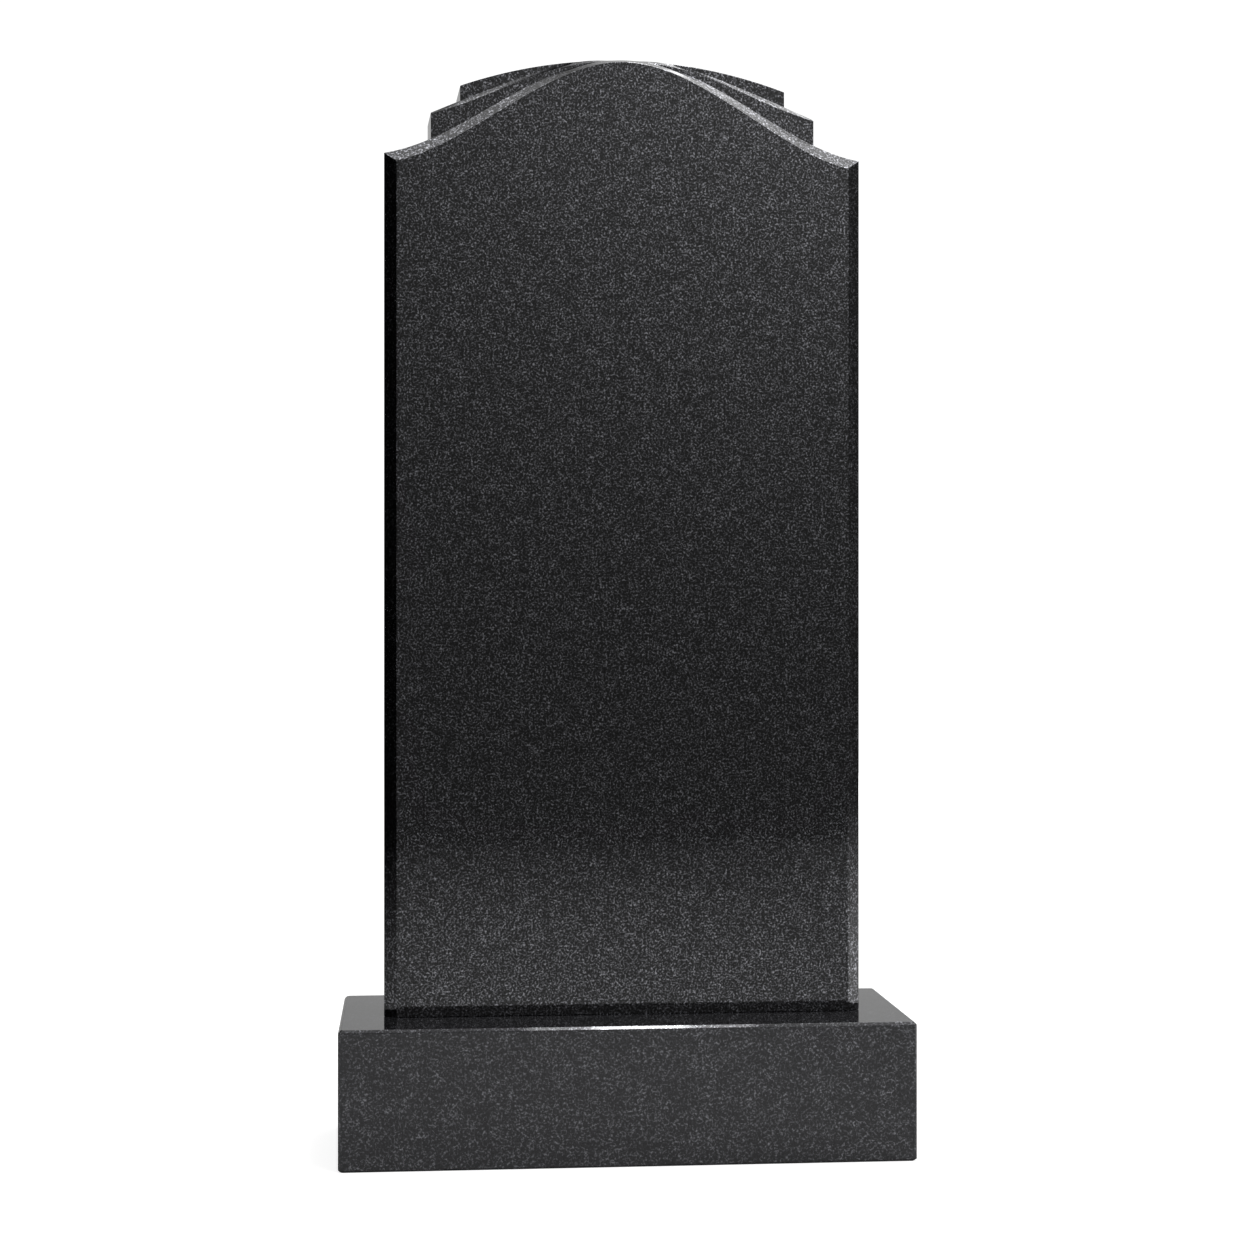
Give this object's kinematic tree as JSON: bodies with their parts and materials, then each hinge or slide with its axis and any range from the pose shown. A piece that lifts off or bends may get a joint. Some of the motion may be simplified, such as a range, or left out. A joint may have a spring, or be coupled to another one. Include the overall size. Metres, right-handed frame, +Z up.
{
  "type": "headstone",
  "caption": "Upright polished granite stele with chamfered front arrises and a symmetrical stepped wave crest, standing on a rectangular plinth.",
  "frame": {"origin": "centre of the plinth's underside", "axes": "+Z up, +X to the right as seen from the front, -Y the way the stele faces"},
  "size_m": [0.59, 0.225, 1.1433],
  "materials": {
    "plinth_granite": "polished near-black granite with fine light flecks",
    "stele_granite": "polished near-black granite with fine light flecks"
  },
  "bodies": {
    "root": {"plinth": "plinth_granite", "stele": "stele_granite"}
  },
  "joints": []
}
